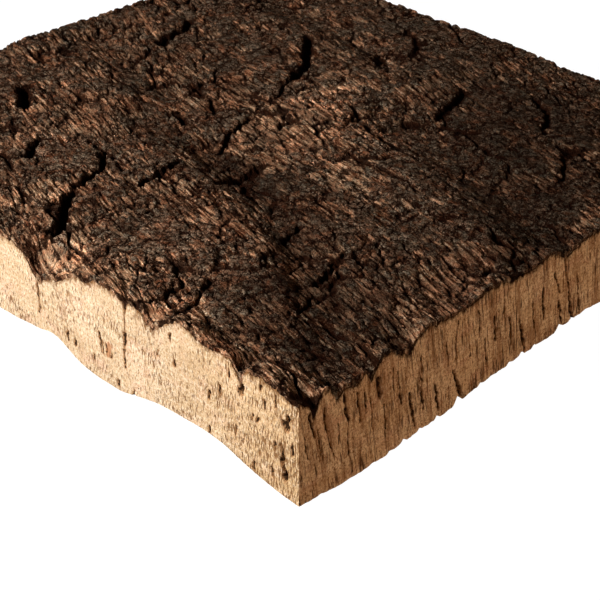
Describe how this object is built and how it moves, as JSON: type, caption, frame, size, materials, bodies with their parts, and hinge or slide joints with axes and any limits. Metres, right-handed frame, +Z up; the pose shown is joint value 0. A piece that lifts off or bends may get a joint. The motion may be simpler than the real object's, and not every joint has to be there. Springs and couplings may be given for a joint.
{
  "type": "piece of bark",
  "caption": "Sawn square-cornered slab of raw cork bark, with its dark fissured outer bark up and pale wavy cork in the saw cuts.",
  "frame": {"origin": "under the middle of the slab, on the plane that its three low spots rest on", "axes": "+Z up through the outer bark, +Y along the grain of the bark, +X across it; the two measured saw cuts face -X and -Y"},
  "size_m": [0.256, 0.28, 0.0479],
  "materials": {
    "cork_bark": "dark weathered outer bark, pale golden cork where it is sawn"
  },
  "bodies": {
    "root": {"cork_bark": "cork_bark"}
  },
  "joints": []
}
